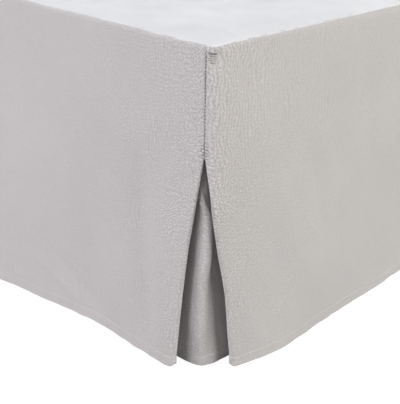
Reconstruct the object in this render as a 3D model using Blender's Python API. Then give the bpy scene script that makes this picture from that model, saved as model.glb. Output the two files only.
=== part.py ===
"""Queen bed skirt with split corners, hung on a plain box spring on legs.

Metres, +Z up. The foot end faces -Y, the head end is open and faces +Y, and the origin is on
the floor under the middle of the whole object. The skirt is a white deck cloth that lies on
the box spring, three drops that roll over its top edge and hang, and an insert behind each
split corner. The drops stand off further toward their hems, in slow waves.
"""

import math
from functools import partial

import bmesh
import bpy

# ---- Driving dimensions ---------------------------------------------------------------------
BED_WIDTH = 1.524          # outside of the left drop to outside of the right drop, at the top
BED_LENGTH = 2.032         # foot drop to head edge, at the top
DROP = 0.381               # top edge to hem
HEM_HEIGHT = 0.008         # hem above the floor
CLOTH = 0.0012             # cloth thickness
PIECE_GAP = 0.0005         # between pieces sewn to each other
BASE_CLEARANCE = 0.0024    # between the cloth and the base that it hangs around

BEND_RADIUS = 0.004        # roll of a drop over the top edge
CORNER_RADIUS = 0.0085     # corner of the drops, seen from above
FOLD_RADIUS = 0.0025       # pressed fold at each side of a split corner
RETURN_END = 0.080         # back edge of a return, from the corner
INSERT_END = 0.086         # upright edge of a pleat insert, from the corner
INSERT_TOP = 0.016         # top edge of a pleat insert, below the top of the skirt
SEAM_END = 0.275           # lower end of the corner seam, above the hem
TUCK_SPAN = 0.070          # the stretch beside a fold in which a drop turns inward

BASE_HEIGHT = 0.205        # box spring
BASE_CORNER = 0.040        # its corners, seen from above
BASE_EDGE = 0.010          # its rounded top and bottom edges
LEG_TOP_RADIUS = 0.030
LEG_FOOT_RADIUS = 0.021
LEG_BEVEL = 0.003
LEG_INSET_X = 0.140        # leg axis in from the drops' plane
LEG_INSET_Y = 0.170

# Corner of a split, below the seam. Each fold stands back from the corner's arc, measured
# along its drop, and turns inward a little toward the hem.
# height above hem, fold of the foot drop, its turn inward, fold of the side drop, its turn
SEAM_HALF_GAP = CLOTH / 2 + PIECE_GAP / 2
ARC_LENGTH = CORNER_RADIUS * math.pi / 2
SPLIT = [
    (0.000, 0.0475, 0.0030, 0.0435, 0.0105),
    (0.050, 0.0425, 0.0020, 0.0355, 0.0075),
    (0.100, 0.0352, 0.0010, 0.0270, 0.0050),
    (0.160, 0.0250, 0.0000, 0.0103, 0.0025),
    (0.220, 0.0125, 0.0000, -0.0035, 0.0000),
    (0.250, 0.0062, 0.0000, -0.0085, 0.0000),
    (SEAM_END, SEAM_HALF_GAP, 0.0000, SEAM_HALF_GAP - ARC_LENGTH, 0.0000),
    (DROP, SEAM_HALF_GAP, 0.0000, SEAM_HALF_GAP - ARC_LENGTH, 0.0000),
]

# How far each hem stands out from the top edge. The reach falls evenly to nothing at the top.
# distance from the right-hand corner, reach of the foot hem
FOOT_REACH = [
    (0.000, 0.0260),
    (0.060, 0.0270),
    (0.120, 0.0275),
    (0.200, 0.0345),
    (0.290, 0.0495),
    (0.400, 0.0670),
    (0.540, 0.0430),
    (0.680, 0.0200),
    (0.820, 0.0330),
    (0.950, 0.0520),
    (1.110, 0.0260),
    (1.240, 0.0180),
    (1.360, 0.0300),
    (1.524, 0.0260),
]
# distance from the foot end, reach of the right hem, reach of the left hem
SIDE_REACH = [
    (0.000, 0.0255, 0.0255),
    (0.090, 0.0300, 0.0280),
    (0.360, 0.0290, 0.0320),
    (0.520, 0.0220, 0.0210),
    (0.700, 0.0160, 0.0260),
    (0.880, 0.0270, 0.0320),
    (1.060, 0.0320, 0.0200),
    (1.260, 0.0210, 0.0150),
    (1.480, 0.0150, 0.0280),
    (1.720, 0.0300, 0.0240),
    (1.900, 0.0240, 0.0180),
    (2.032, 0.0180, 0.0200),
]

# Pleat insert: how far it lies inside the drops' planes, and its rounding at the corner.
# place, inside the foot plane, inside the side plane, corner radius
INSERT = {
    "top": (0.0075, 0.0075, 0.012),
    "hem": (-0.0045, 0.0052, 0.020),
}

# ---- Worked out from those ------------------------------------------------------------------
TOP = HEM_HEIGHT + DROP
HALF_WIDTH = BED_WIDTH / 2
LONGEST_REACH = max(row[1] for row in FOOT_REACH) + CLOTH / 2
FOOT_Y = (LONGEST_REACH - BED_LENGTH) / 2
HEAD_Y = FOOT_Y + BED_LENGTH
INSERT_INSET = INSERT["top"][0]
BASE_INSET = INSERT_INSET + CLOTH / 2 + BASE_CLEARANCE
BASE_TOP = TOP - CLOTH - PIECE_GAP
BASE_BOTTOM = BASE_TOP - BASE_HEIGHT

BEND_HEIGHT = DROP - CLOTH / 2 - BEND_RADIUS

BEND_ANGLES = [0, 30, 60]
DROP_HEIGHTS = [0.330, SEAM_END, 0.250, 0.220, 0.190, 0.160, 0.130, 0.100, 0.060, 0.0]
NEAR_FOLD = [0.0, 0.004, 0.008, 0.0125, 0.022, 0.040, TUCK_SPAN]
FOLD_STEPS = 4
RETURN_NEAR = 4
RETURN_FAR = 3
FOOT_COLUMNS = 26
SIDE_COLUMNS = 30
INSERT_ARM_STEPS = 3
INSERT_ARC_STEPS = 6


# ---- Materials ------------------------------------------------------------------------------
def material(name, colour, roughness, metallic=0.0):
    made = bpy.data.materials.new(name)
    made.use_nodes = True
    shader = made.node_tree.nodes["Principled BSDF"]
    shader.inputs["Base Color"].default_value = (*colour, 1.0)
    shader.inputs["Roughness"].default_value = roughness
    shader.inputs["Metallic"].default_value = metallic
    return made


# ---- Curves through short tables ------------------------------------------------------------
def through(rows, column, x):
    """Smooth curve through a table's rows, level wherever its value turns back."""
    keys = [row[0] for row in rows]
    values = [row[column] for row in rows]
    if x <= keys[0]:
        return values[0]
    if x >= keys[-1]:
        return values[-1]
    last = len(rows) - 1
    slopes = [(values[i + 1] - values[i]) / (keys[i + 1] - keys[i]) for i in range(last)]

    def tangent(i):
        if i in (0, last) or slopes[i - 1] * slopes[i] <= 0:
            return 0.0
        return 2 * slopes[i - 1] * slopes[i] / (slopes[i - 1] + slopes[i])

    i = max(j for j in range(last) if keys[j] <= x)
    span = keys[i + 1] - keys[i]
    t = (x - keys[i]) / span
    rise = values[i + 1] - values[i]
    return (
        values[i]
        + rise * t * t * (3 - 2 * t)
        + span * tangent(i) * t * (1 - t) ** 2
        - span * tangent(i + 1) * t * t * (1 - t)
    )


def hang(height):
    """Share of the hem's reach at a height above the hem: 1 at the hem, 0 from the roll up."""
    return max(0.0, 1 - height / BEND_HEIGHT)


# ---- One corner, in its own frame -----------------------------------------------------------
# a runs in from the corner along the foot end, b runs in from it along the bed's side. A point
# of a drop is given by q, along it from the corner's arc, and depth, inside its outer layer.
class Corner:
    """The split corner at side = +1 (right) or -1 (left), at one height above the hem."""

    def __init__(self, side, height):
        self.side = side
        self.share = hang(height)
        foot_out = self.foot_reach(0.0)
        side_out = self.side_reach(0.0)
        self.arc_a = CORNER_RADIUS - side_out
        self.arc_b = CORNER_RADIUS - foot_out
        self.foot_fold = through(SPLIT, 1, height)
        self.foot_tuck = through(SPLIT, 2, height)
        self.side_fold = through(SPLIT, 3, height)
        self.side_tuck = through(SPLIT, 4, height)
        top, hem = INSERT["top"], INSERT["hem"]
        self.insert = [start + (end - start) * self.share for start, end in zip(top, hem)]

    def world(self, points):
        return [(self.side * (HALF_WIDTH - a), FOOT_Y + b) for a, b in points]

    def foot_reach(self, a):
        distance = a if self.side > 0 else BED_WIDTH - a
        return through(FOOT_REACH, 1, distance) * self.share

    def side_reach(self, b):
        column = 1 if self.side > 0 else 2
        return through(SIDE_REACH, column, b) * self.share

    def foot_point(self, q, depth=0.0):
        a = self.arc_a + q
        return a, depth + tuck(self.foot_tuck, q - self.foot_fold) - self.foot_reach(a)

    def side_point(self, q, depth=0.0):
        """A negative q is round the corner's arc."""
        depth += tuck(self.side_tuck, q - self.side_fold)
        if q >= 0:
            b = self.arc_b + q
            return depth - self.side_reach(b), b
        turn = -q / CORNER_RADIUS
        radius = CORNER_RADIUS - depth
        return self.arc_a - radius * math.cos(turn), self.arc_b - radius * math.sin(turn)

    def foot_face(self, depth, apex):
        return [self.foot_point(apex + step, depth) for step in NEAR_FOLD]

    def side_face(self, depth, apex):
        return [self.side_point(apex + step, depth) for step in NEAR_FOLD]

    def foot_tail(self):
        end_depth = self.foot_reach(RETURN_END) + self.insert[0] - CLOTH - PIECE_GAP
        return tail(self.foot_point, self.foot_fold, RETURN_END - self.arc_a, end_depth)

    def side_tail(self):
        end_depth = self.side_reach(RETURN_END) + self.insert[1] - CLOTH - PIECE_GAP
        return tail(self.side_point, self.side_fold, RETURN_END - self.arc_b, end_depth)

    def insert_line(self):
        """The pleat insert, from its upright edge at the foot end round to its other one."""
        foot_inset, side_inset, radius = self.insert
        centre_a = side_inset + radius
        centre_b = foot_inset + radius
        points = []
        for i in range(INSERT_ARM_STEPS):
            t = i / INSERT_ARM_STEPS
            points.append((INSERT_END + (centre_a - INSERT_END) * t, foot_inset))
        for i in range(INSERT_ARC_STEPS + 1):
            turn = math.pi / 2 * i / INSERT_ARC_STEPS
            a = centre_a - radius * math.sin(turn)
            points.append((a, centre_b - radius * math.cos(turn)))
        for i in range(1, INSERT_ARM_STEPS + 1):
            t = i / INSERT_ARM_STEPS
            points.append((side_inset, centre_b + (INSERT_END - centre_b) * t))
        return points


def tuck(at_fold, distance):
    """Turn inward of a drop at a distance from its fold."""
    t = min(max(distance / TUCK_SPAN, 0.0), 1.0)
    return at_fold * (1 - t) ** 2


def tail(point, apex, end_q, end_depth):
    """Fold and return of a drop: a half circle inward, then back to the insert's edge."""
    centre = apex + FOLD_RADIUS
    points = []
    for step in range(1, FOLD_STEPS):
        turn = math.pi * step / FOLD_STEPS
        depth = FOLD_RADIUS * (1 - math.cos(turn))
        points.append(point(centre - FOLD_RADIUS * math.sin(turn), depth))
    near = [centre + step for step in NEAR_FOLD[:RETURN_NEAR]]
    gap = (end_q - near[-1]) / RETURN_FAR
    far = [near[-1] + gap * (i + 1) for i in range(RETURN_FAR)]
    start = max(centre, 0.0)
    for q in near + far:
        t = min(max((q - start) / (end_q - start), 0.0), 1.0)
        depth = 2 * FOLD_RADIUS + (end_depth - 2 * FOLD_RADIUS) * t * t * (3 - 2 * t)
        points.append(point(q, depth))
    return points


# ---- Sheets ---------------------------------------------------------------------------------
def new_object(name, mesh, made_of):
    obj = bpy.data.objects.new(name, mesh)
    bpy.context.scene.collection.objects.link(obj)
    mesh.materials.append(made_of)
    return obj


def sheet(name, rows, made_of):
    """A cloth from rows of points, None where the cloth has no point, given its thickness."""
    mesh = bpy.data.meshes.new(name)
    bm = bmesh.new()
    grid = [[None if p is None else bm.verts.new(p) for p in row] for row in rows]
    for upper, lower in zip(grid, grid[1:]):
        for i in range(len(upper) - 1):
            corners = (upper[i], upper[i + 1], lower[i + 1], lower[i])
            if all(corners):
                bm.faces.new(corners)
    bmesh.ops.recalc_face_normals(bm, faces=bm.faces[:])
    bm.to_mesh(mesh)
    bm.free()
    mesh.shade_smooth()
    obj = new_object(name, mesh, made_of)
    thick = obj.modifiers.new("cloth", "SOLIDIFY")
    thick.thickness = CLOTH
    thick.offset = 0.0
    thick.use_even_offset = True
    return obj


def level(points, height):
    z = HEM_HEIGHT + height
    return [None if p is None else (p[0], p[1], z) for p in points]


def foot_row(height, depth, has_tails):
    right = Corner(1, height)
    left = Corner(-1, height)
    back = FOLD_RADIUS if has_tails else 0.0
    right_end = right.world(right.foot_face(depth, right.foot_fold + back))
    left_end = left.world(left.foot_face(depth, left.foot_fold + back))
    x_from, x_to = right_end[-1][0], left_end[-1][0]
    middle = []
    for i in range(1, FOOT_COLUMNS):
        x = x_from + (x_to - x_from) * i / FOOT_COLUMNS
        middle.append((x, FOOT_Y + depth - right.foot_reach(HALF_WIDTH - x)))
    right_tail = right.world(right.foot_tail())
    left_tail = left.world(left.foot_tail())
    if not has_tails:
        right_tail = left_tail = [None] * len(right_tail)
    return right_tail[::-1] + right_end + middle + left_end[::-1] + left_tail


def side_row(side, height, depth, has_tails):
    corner = Corner(side, height)
    back = FOLD_RADIUS if has_tails else 0.0
    near = corner.side_face(depth, corner.side_fold + back)
    b_from = near[-1][1]
    far = []
    for i in range(1, SIDE_COLUMNS + 1):
        b = b_from + (BED_LENGTH - b_from) * i / SIDE_COLUMNS
        far.append((depth - corner.side_reach(b), b))
    side_tail = corner.world(corner.side_tail())
    if not has_tails:
        side_tail = [None] * len(side_tail)
    return side_tail[::-1] + corner.world(near + far)


def drop_rows(row_at):
    """Rows of a drop from the deck's edge over the roll and down to the hem."""
    rows = []
    for angle in BEND_ANGLES:
        turn = math.radians(angle)
        depth = BEND_RADIUS * (1 - math.sin(turn))
        height = BEND_HEIGHT + BEND_RADIUS * math.cos(turn)
        rows.append(level(row_at(height, depth, False), height))
    for height in [BEND_HEIGHT] + DROP_HEIGHTS:
        rows.append(level(row_at(height, 0.0, True), height))
    return rows


def insert_rows(side):
    rows = []
    for height in [DROP - INSERT_TOP] + DROP_HEIGHTS:
        corner = Corner(side, height)
        rows.append(level(corner.world(corner.insert_line()), height))
    return rows


# ---- Solids of rings ------------------------------------------------------------------------
def ring_solid(name, rings, made_of, sharp=30):
    """A closed solid from rings of points, lowest first, with a flat face on each end."""
    mesh = bpy.data.meshes.new(name)
    bm = bmesh.new()
    made = [[bm.verts.new(p) for p in ring] for ring in rings]
    count = len(made[0])
    for lower, upper in zip(made, made[1:]):
        for i in range(count):
            j = (i + 1) % count
            bm.faces.new((lower[i], lower[j], upper[j], upper[i]))
    bm.faces.new(made[0][::-1])
    bm.faces.new(made[-1])
    bmesh.ops.recalc_face_normals(bm, faces=bm.faces[:])
    bm.to_mesh(mesh)
    bm.free()
    mesh.shade_smooth()
    mesh.set_sharp_from_angle(angle=math.radians(sharp))
    return new_object(name, mesh, made_of)


def outline(x_half, y_low, y_high, radii, z, steps=5):
    """A rectangle seen from above, corners rounded: foot corners first, then head corners."""
    foot_radius, head_radius = radii
    corners = [
        (x_half, y_low, foot_radius, -90),
        (x_half, y_high, head_radius, 0),
        (-x_half, y_high, head_radius, 90),
        (-x_half, y_low, foot_radius, 180),
    ]
    points = []
    for x, y, radius, start in corners:
        centre_x = x - math.copysign(radius, x)
        centre_y = y + (radius if y == y_low else -radius)
        for i in range(steps + 1):
            turn = math.radians(start + 90 * i / steps)
            points.append(
                (centre_x + radius * math.cos(turn), centre_y + radius * math.sin(turn), z)
            )
    return points


def deck(made_of):
    inset = BEND_RADIUS + PIECE_GAP
    radius = CORNER_RADIUS - inset
    rings = [
        outline(HALF_WIDTH - inset, FOOT_Y + inset, HEAD_Y, (radius, radius), z)
        for z in (TOP - CLOTH, TOP)
    ]
    return ring_solid("deck", rings, made_of)


def box_spring(made_of):
    rings = []
    for edge_z, sign in ((BASE_BOTTOM, 1), (BASE_TOP, -1)):
        angles = (0, 22.5, 45, 67.5, 90)
        for angle in angles if sign > 0 else angles[::-1]:
            turn = math.radians(angle)
            inset = BASE_INSET + BASE_EDGE * (1 - math.sin(turn))
            z = edge_z + sign * BASE_EDGE * (1 - math.cos(turn))
            radius = BASE_CORNER - (inset - BASE_INSET)
            head = HEAD_Y - (inset - BASE_INSET) - BASE_CLEARANCE
            rings.append(
                outline(HALF_WIDTH - inset, FOOT_Y + inset, head, (radius, radius), z, 6)
            )
    return ring_solid("box_spring", rings, made_of)


def leg(number, x, y, made_of, sides=24):
    top = BASE_BOTTOM - PIECE_GAP
    # radius, height
    profile = [
        (LEG_FOOT_RADIUS - LEG_BEVEL, 0.0),
        (LEG_FOOT_RADIUS, LEG_BEVEL),
        (LEG_TOP_RADIUS, top),
    ]
    rings = []
    for radius, z in profile:
        turns = [2 * math.pi * i / sides for i in range(sides)]
        rings.append([(x + radius * math.cos(t), y + radius * math.sin(t), z) for t in turns])
    return ring_solid(f"leg_{number}", rings, made_of)


def main():
    for obj in list(bpy.data.objects):
        bpy.data.objects.remove(obj, do_unlink=True)

    grey_cloth = material("grey_cloth", (0.52, 0.50, 0.49), 0.9)
    white_cloth = material("white_cloth", (0.82, 0.83, 0.85), 0.9)
    ticking = material("ticking", (0.78, 0.77, 0.74), 0.85)
    leg_wood = material("leg_wood", (0.20, 0.12, 0.07), 0.5)

    deck(white_cloth)
    sheet("drop_foot", drop_rows(foot_row), grey_cloth)
    for side, word in ((1, "right"), (-1, "left")):
        sheet(f"drop_{word}", drop_rows(partial(side_row, side)), grey_cloth)
        sheet(f"pleat_{word}", insert_rows(side), grey_cloth)
    box_spring(ticking)

    number = 0
    leg_rows = (FOOT_Y + LEG_INSET_Y, (FOOT_Y + HEAD_Y) / 2, HEAD_Y - LEG_INSET_Y)
    for y in leg_rows:
        for side in (-1, 1):
            number += 1
            leg(number, side * (HALF_WIDTH - LEG_INSET_X), y, leg_wood)


main()
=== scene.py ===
"""Looks of the bed skirt on its box spring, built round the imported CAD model.

Metres, +Z up, in the CAD frame. Each cloth is a thin sheet on its CAD solid's folds, with its
creases, hem, puckers and stitches. Distances along a drop are measured from its corner seam,
and heights are above the hem.
"""

import math

import bmesh
import bpy
import numpy as np
from mathutils import Matrix, Vector


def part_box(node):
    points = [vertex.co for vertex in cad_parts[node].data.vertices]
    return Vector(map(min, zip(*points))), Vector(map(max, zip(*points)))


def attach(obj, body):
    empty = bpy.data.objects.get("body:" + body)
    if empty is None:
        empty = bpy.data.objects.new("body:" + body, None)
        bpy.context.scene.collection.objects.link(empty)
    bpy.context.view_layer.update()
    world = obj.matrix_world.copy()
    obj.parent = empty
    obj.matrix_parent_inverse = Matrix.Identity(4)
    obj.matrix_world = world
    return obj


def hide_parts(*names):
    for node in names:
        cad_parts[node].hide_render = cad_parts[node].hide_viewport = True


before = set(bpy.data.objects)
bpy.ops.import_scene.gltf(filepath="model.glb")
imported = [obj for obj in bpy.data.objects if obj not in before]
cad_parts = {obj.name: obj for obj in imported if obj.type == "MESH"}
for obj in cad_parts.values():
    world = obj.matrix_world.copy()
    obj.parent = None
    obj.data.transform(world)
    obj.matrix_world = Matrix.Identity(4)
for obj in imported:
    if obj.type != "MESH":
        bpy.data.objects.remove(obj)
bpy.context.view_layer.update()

# ---- Sizes of the CAD model -----------------------------------------------------------------
DROP = 0.381               # top edge to hem
CAD_CLOTH = 0.0012
PIECE_GAP = 0.0005
DECK_INSET = 0.0045        # edge of the CAD deck inside the drops' planes
CORNER_RADIUS = 0.0085     # corner of the drops, seen from above
RETURN_END = 0.080         # back edge of a return, from the corner
INSERT_END = 0.086         # upright edge of a pleat insert, from the corner
INSERT_TOP = 0.016         # top edge of a pleat insert, below the top of the skirt
SEAM_END = 0.2697          # lower end of the corner seam
TUCK_SPAN = 0.070          # the stretch beside a fold in which a drop turns inward
BEND_HEIGHT = 0.3764       # where the drops leave the roll over the top edge

deck_low, deck_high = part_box("deck")
HALF_WIDTH = deck_high.x + DECK_INSET
FOOT_Y = deck_low.y - DECK_INSET
HEAD_Y = deck_high.y
TOP = deck_high.z
HEM_Z = TOP - DROP
BED_WIDTH = 2 * HALF_WIDTH
BED_LENGTH = HEAD_Y - FOOT_Y

# ---- Sizes of the cloth ---------------------------------------------------------------------
CLOTH = 0.0009             # one layer as it shows
HEM = 0.0130               # hem's depth, up to its stitches
HEM_THICK = 0.0016         # folded hem
SEAM_GAP = 0.0004          # between the two folds of the corner seam
SEAM_HALF_GAP = (CLOTH + SEAM_GAP) / 2
ARC_LENGTH = CORNER_RADIUS * math.pi / 2
HEM_CORNER = (0.0065, 0.0030)  # rounding of a drop's lower corner at the slit: foot, side
ROLL_OUT = 0.0040          # how far in the roll over the top edge starts
SEAM_LIFT = 0.011          # how far the threads are drawn up at the corner seam
SEAM_REACH = 0.011         # the stretch beside the seam in which they are
DECK_EDGE = 0.0021         # edge of the deck's cloth, inside the drops' planes
INSERT_SAG = 0.0045        # hem of a pleat insert below the drops' hems
FOOT_SPAN = BED_WIDTH      # the foot drop from seam to seam, in its cloth's own coordinates
THREAD = 0.00022           # radius of the sewing thread
STITCH = 0.0034            # pitch of the hem stitches
STITCH_SHOWN = 0.80        # share of the pitch in which the thread lies outside
STITCH_LIFT = 0.00005      # hem stitches off the cloth's face
SOFT_EDGE = 0.011          # the stretch beside a fold that eases into it
SOFT_DEPTH = 0.0009        # and how far in it turns at the fold

# Corner of a split. Each fold stands back from the corner's arc, and turns inward.
# height above hem, fold of the foot drop, its turn inward, fold of the side drop, its turn
SPLIT = [
    (0.000, 0.0487, 0.0030, 0.0455, 0.0105),
    (0.050, 0.0437, 0.0020, 0.0373, 0.0075),
    (0.100, 0.0365, 0.0010, 0.0286, 0.0050),
    (0.160, 0.0262, 0.0000, 0.0120, 0.0025),
    (0.220, 0.0126, 0.0000, -0.0034, 0.0000),
    (0.250, 0.0056, 0.0000, -0.0090, 0.0000),
    (SEAM_END - 0.002, SEAM_HALF_GAP + 0.0006, 0.0000, SEAM_HALF_GAP - ARC_LENGTH + 0.0006, 0.0000),
    (SEAM_END, SEAM_HALF_GAP, 0.0000, SEAM_HALF_GAP - ARC_LENGTH, 0.0000),
    (0.3735, SEAM_HALF_GAP, 0.0000, SEAM_HALF_GAP - ARC_LENGTH, 0.0000),
    (0.3770, CLOTH / 2, 0.0000, CLOTH / 2 - ARC_LENGTH, 0.0000),
    (DROP, CLOTH / 2, 0.0000, CLOTH / 2 - ARC_LENGTH, 0.0000),
]

# How far each hem stands out from the top edge.
# distance from the right-hand corner, reach of the foot hem
FOOT_REACH = [
    (0.000, 0.0260),
    (0.060, 0.0270),
    (0.120, 0.0275),
    (0.200, 0.0345),
    (0.290, 0.0487),
    (0.400, 0.0720),
    (0.540, 0.0430),
    (0.680, 0.0200),
    (0.820, 0.0330),
    (0.950, 0.0520),
    (1.110, 0.0260),
    (1.240, 0.0180),
    (1.360, 0.0300),
    (1.524, 0.0260),
]
# distance from the foot end, reach of the right hem, reach of the left hem
SIDE_REACH = [
    (0.000, 0.0255, 0.0255),
    (0.090, 0.0300, 0.0280),
    (0.360, 0.0290, 0.0320),
    (0.520, 0.0220, 0.0210),
    (0.700, 0.0160, 0.0260),
    (0.880, 0.0270, 0.0320),
    (1.060, 0.0320, 0.0200),
    (1.260, 0.0210, 0.0150),
    (1.480, 0.0150, 0.0280),
    (1.720, 0.0300, 0.0240),
    (1.900, 0.0240, 0.0180),
    (2.032, 0.0180, 0.0200),
]

# Pleat insert: how far it lies inside the drops' upright planes, and its rounding.
# height above hem, inside the foot plane, inside the side plane, corner radius
INSERT = [
    (0.000, 0.0010, 0.0086, 0.030),
    (0.050, 0.0012, 0.0108, 0.020),
    (0.100, 0.0018, 0.0112, 0.014),
    (0.150, 0.0014, 0.0070, 0.011),
    (0.190, 0.0004, 0.0060, 0.008),
    (0.220, -0.0028, 0.0076, 0.007),
    (0.260, -0.0026, 0.0080, 0.007),
    (0.300, 0.0010, 0.0078, 0.010),
    (0.365, 0.0070, 0.0075, 0.012),
    (DROP, 0.0075, 0.0075, 0.012),
]

# Radius of the folds at each side of a split.
# height above hem, radius
FOLD = [
    (0.000, 0.0030),
    (0.100, 0.0026),
    (0.200, 0.0018),
    (SEAM_END, 0.0009),
    (0.315, 0.0008),
    (0.330, 0.0012),
    (0.3735, 0.0012),
    (0.3770, 0.0004),
    (DROP, 0.0004),
]

# Height of the roll over the top edge.
# distance from the corner, roll of the foot drop, roll of the side drops
ROLL = [
    (0.000, 0.0036, 0.0036),
    (0.050, 0.0036, 0.0040),
    (0.120, 0.0040, 0.0060),
    (0.220, 0.0046, 0.0090),
    (0.500, 0.0050, 0.0100),
    (1.100, 0.0060, 0.0080),
    (2.100, 0.0050, 0.0100),
]

# Soft creases of the drops beside the right-hand corner.
# distance and height of one end, then of the other, half width, rise (negative for a trough)
FOOT_CREASES = [
    (0.104, 0.245, 0.092, 0.020, 0.020, -0.0055),
    (0.062, 0.215, 0.066, 0.000, 0.018, 0.0018),
    (0.150, 0.210, 0.160, 0.020, 0.016, 0.0013),
    (0.205, 0.160, 0.190, 0.000, 0.020, -0.0026),
    (0.236, 0.240, 0.225, 0.060, 0.018, 0.0020),
    (0.275, 0.300, 0.262, 0.160, 0.014, 0.0018),
    (0.262, 0.075, 0.180, 0.022, 0.007, -0.0013),
    (0.300, 0.060, 0.215, 0.018, 0.006, 0.0011),
    (0.050, 0.300, 0.120, 0.262, 0.012, 0.0009),
]
SIDE_CREASES = [
    (0.190, 0.262, 0.235, 0.150, 0.011, 0.0024),
    (0.168, 0.235, 0.205, 0.130, 0.010, -0.0022),
    (0.215, 0.210, 0.238, 0.120, 0.008, -0.0013),
    (0.090, 0.180, 0.135, 0.060, 0.016, -0.0022),
    (0.120, 0.210, 0.160, 0.095, 0.013, 0.0018),
    (0.060, 0.110, 0.090, 0.020, 0.014, 0.0013),
    (0.270, 0.320, 0.300, 0.180, 0.016, -0.0018),
    (0.180, 0.100, 0.215, 0.030, 0.015, 0.0018),
    (0.310, 0.250, 0.330, 0.060, 0.020, 0.0022),
]

# S-shaped creases of a pleat insert.
INSERT_CREASES = [
    (0.003, 0.195, 0.000, 0.030, 0.0058, 0.0066),
    (-0.006, 0.240, 0.001, 0.222, 0.0017, 0.0018),
    (-0.011, 0.227, 0.002, 0.219, 0.0017, 0.0019),
    (0.000, 0.223, 0.0055, 0.194, 0.0017, 0.0019),
    (-0.010, 0.219, 0.000, 0.213, 0.0015, 0.0013),
    (-0.002, 0.217, 0.002, 0.196, 0.0015, 0.0013),
    (0.003, 0.200, 0.005, 0.140, 0.0030, 0.0012),
    (-0.004, 0.190, -0.003, 0.040, 0.0035, -0.0009),
    (0.010, 0.230, 0.013, 0.120, 0.0040, -0.0012),
    (0.000, 0.140, -0.001, 0.000, 0.0035, 0.0010),
    (0.008, 0.150, 0.006, 0.000, 0.0040, -0.0012),
    (-0.010, 0.130, -0.009, 0.000, 0.0035, 0.0007),
]


# ---- Small tools ----------------------------------------------------------------------------
def through(rows, column, x):
    """Smooth curve through a table's rows, level wherever its value turns back."""
    keys = np.array([row[0] for row in rows])
    values = np.array([row[column] for row in rows])
    slopes = np.diff(values) / np.diff(keys)
    product = slopes[:-1] * slopes[1:]
    total = np.where(product > 0, slopes[:-1] + slopes[1:], 1.0)
    tangents = np.zeros(len(rows))
    tangents[1:-1] = np.where(product > 0, 2 * product / total, 0.0)
    x = np.clip(x, keys[0], keys[-1])
    i = np.clip(np.searchsorted(keys, x, side="right") - 1, 0, len(rows) - 2)
    span = keys[i + 1] - keys[i]
    t = (x - keys[i]) / span
    return (
        values[i]
        + (values[i + 1] - values[i]) * t * t * (3 - 2 * t)
        + span * tangents[i] * t * (1 - t) ** 2
        - span * tangents[i + 1] * t * t * (1 - t)
    )


def ease(t):
    t = np.clip(t, 0.0, 1.0)
    return t * t * (3 - 2 * t)


def graded(*stretches):
    """Positions from 0 through stretches of (end, spacing)."""
    made = [0.0]
    for end, spacing in stretches:
        count = max(1, round((end - made[-1]) / spacing))
        start = made[-1]
        made += [start + (end - start) * (i + 1) / count for i in range(count)]
    return np.array(made)


def waves(u, v, seed, u_length, v_length, count=8):
    """Soft seeded unevenness, mostly between -1 and 1."""
    rng = np.random.default_rng(seed)
    total = 0.0
    for _ in range(count):
        across = rng.uniform(0.5, 1.4) / u_length
        along = rng.uniform(-1.2, 1.2) / v_length
        phase = rng.uniform(0, 2 * math.pi)
        total = total + np.sin(2 * math.pi * (across * u + along * v) + phase)
    return total / math.sqrt(count)


def creases(rows, u, v):
    """Sum of soft ridges and troughs, each along a line that fades at its ends."""
    total = 0.0
    for u0, v0, u1, v1, half_width, rise in rows:
        du, dv = u1 - u0, v1 - v0
        length = math.hypot(du, dv)
        along = ((u - u0) * du + (v - v0) * dv) / length
        off = ((v - v0) * du - (u - u0) * dv) / length
        beyond = np.maximum(0.0, np.abs(along - length / 2) - length * 0.3) / (length * 0.25)
        total = total + rise * np.exp(-((off / half_width) ** 2) - beyond**2)
    return total


def bump_at(x, centre, half_width):
    return np.exp(-(((x - centre) / half_width) ** 2))


# ---- One corner, in its own frame -----------------------------------------------------------
# a runs in from the corner along the foot end, b runs in from it along the bed's side. A point
# of a drop is given by q, along it from the corner's arc, and depth, inside its outer layer.
class Corner:
    """The split corner at side = +1 (right) or -1 (left), at an array of heights."""

    def __init__(self, side, height):
        self.side = side
        self.height = height
        self.share = np.clip(1 - height / BEND_HEIGHT, 0.0, None)
        self.arc_a = CORNER_RADIUS - self.side_reach(0.0)
        self.arc_b = CORNER_RADIUS - self.foot_reach(0.0)
        self.foot_fold = through(SPLIT, 1, height)
        self.foot_tuck = through(SPLIT, 2, height)
        self.side_fold = through(SPLIT, 3, height)
        self.side_tuck = through(SPLIT, 4, height)

    def world(self, a, b):
        x = self.side * (HALF_WIDTH - a)
        return np.stack(np.broadcast_arrays(x, FOOT_Y + b, HEM_Z + self.height), axis=-1)

    def foot_reach(self, a):
        distance = a if self.side > 0 else BED_WIDTH - a
        return through(FOOT_REACH, 1, distance) * self.share

    def side_reach(self, b):
        return through(SIDE_REACH, 1 if self.side > 0 else 2, b) * self.share

    def foot_point(self, q, depth):
        a = self.arc_a + q
        depth = depth + tuck(self.foot_tuck, q - self.foot_fold)
        return self.world(a, depth - self.foot_reach(a))

    def side_point(self, q, depth):
        """A negative q is round the corner's arc."""
        depth = depth + tuck(self.side_tuck, q - self.side_fold)
        b = self.arc_b + q
        turn = np.clip(-q, 0.0, None) / CORNER_RADIUS
        radius = CORNER_RADIUS - depth
        round_a = self.arc_a - radius * np.cos(turn)
        round_b = self.arc_b - radius * np.sin(turn)
        on_arc = q < 0
        return self.world(
            np.where(on_arc, round_a, depth - self.side_reach(b)),
            np.where(on_arc, round_b, b),
        )


def tuck(at_fold, distance):
    """Turn inward of a drop at a distance from its fold."""
    t = np.clip(distance / TUCK_SPAN, 0.0, 1.0)
    return at_fold * (1 - t) ** 2


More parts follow.
